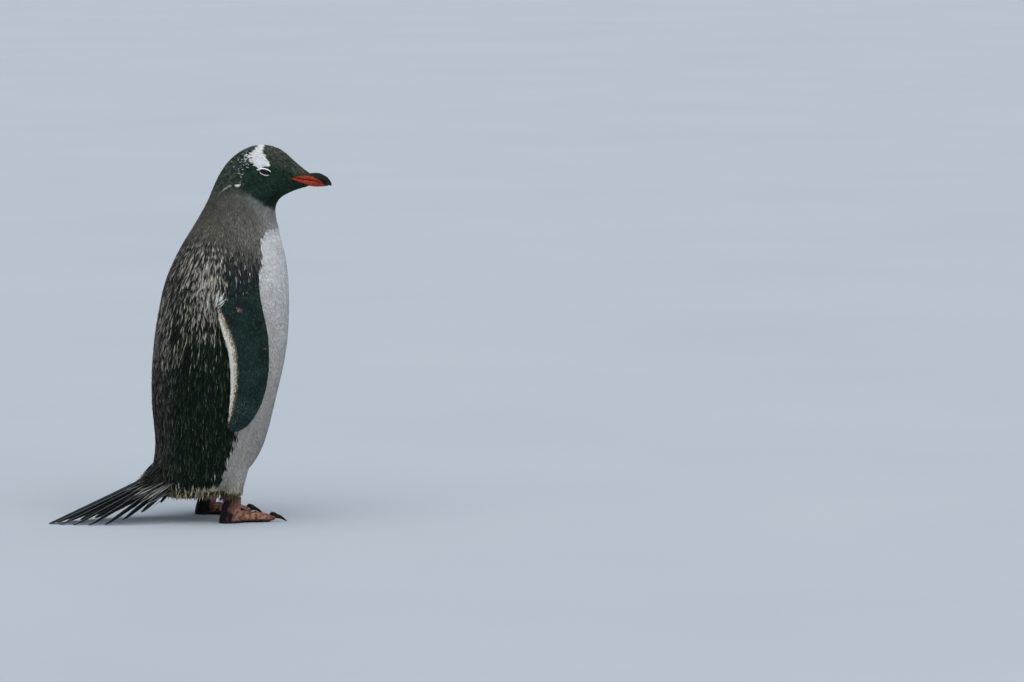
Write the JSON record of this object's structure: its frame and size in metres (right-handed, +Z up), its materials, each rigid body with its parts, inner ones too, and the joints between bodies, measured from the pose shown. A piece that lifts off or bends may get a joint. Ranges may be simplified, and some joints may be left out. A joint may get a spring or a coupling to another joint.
{
  "type": "gentoo penguin model",
  "caption": "Life-size standing gentoo penguin with its head turned a little, flippers hanging, and tail resting on the floor.",
  "frame": {"origin": "on the floor, in the middle of the bird's length from tail tip to bill tip", "axes": "+X the way the body faces, +Y the bird's left, +Z up"},
  "size_m": [0.4314, 0.2192, 0.5658],
  "materials": {
    "black_plumage": "matte overlapping feathers, worn to grey-brown at the tips",
    "head_plumage": "short dense matte feathers",
    "flipper_plumage": "scale-like satin feathers",
    "white_plumage": "dense soft matte feathers",
    "tail_quill": "stiff satin feathers",
    "bill_ridge": "horn, semi-gloss",
    "bill": "horn, semi-gloss",
    "foot_skin": "scaly skin, satin",
    "claw": "horn, semi-gloss",
    "eyeball": "wet, glossy",
    "lid": "bare skin, satin"
  },
  "bodies": {
    "root": {"trunk": "black_plumage", "neck": "black_plumage", "head": "head_plumage", "bill_upper": "bill_ridge", "bill_lower": "bill", "tail": "tail_quill", "eye_right": "eyeball", "eyelid_right": "lid", "flipper_right": "flipper_plumage", "leg_right": "white_plumage", "foot_right": "foot_skin", "claw_right_outer": "claw", "claw_right_middle": "claw", "claw_right_inner": "claw", "claw_right_hallux": "claw", "eye_left": "eyeball", "eyelid_left": "lid", "flipper_left": "flipper_plumage", "leg_left": "white_plumage", "foot_left": "foot_skin", "claw_left_outer": "claw", "claw_left_middle": "claw", "claw_left_inner": "claw", "claw_left_hallux": "claw"}
  },
  "joints": []
}
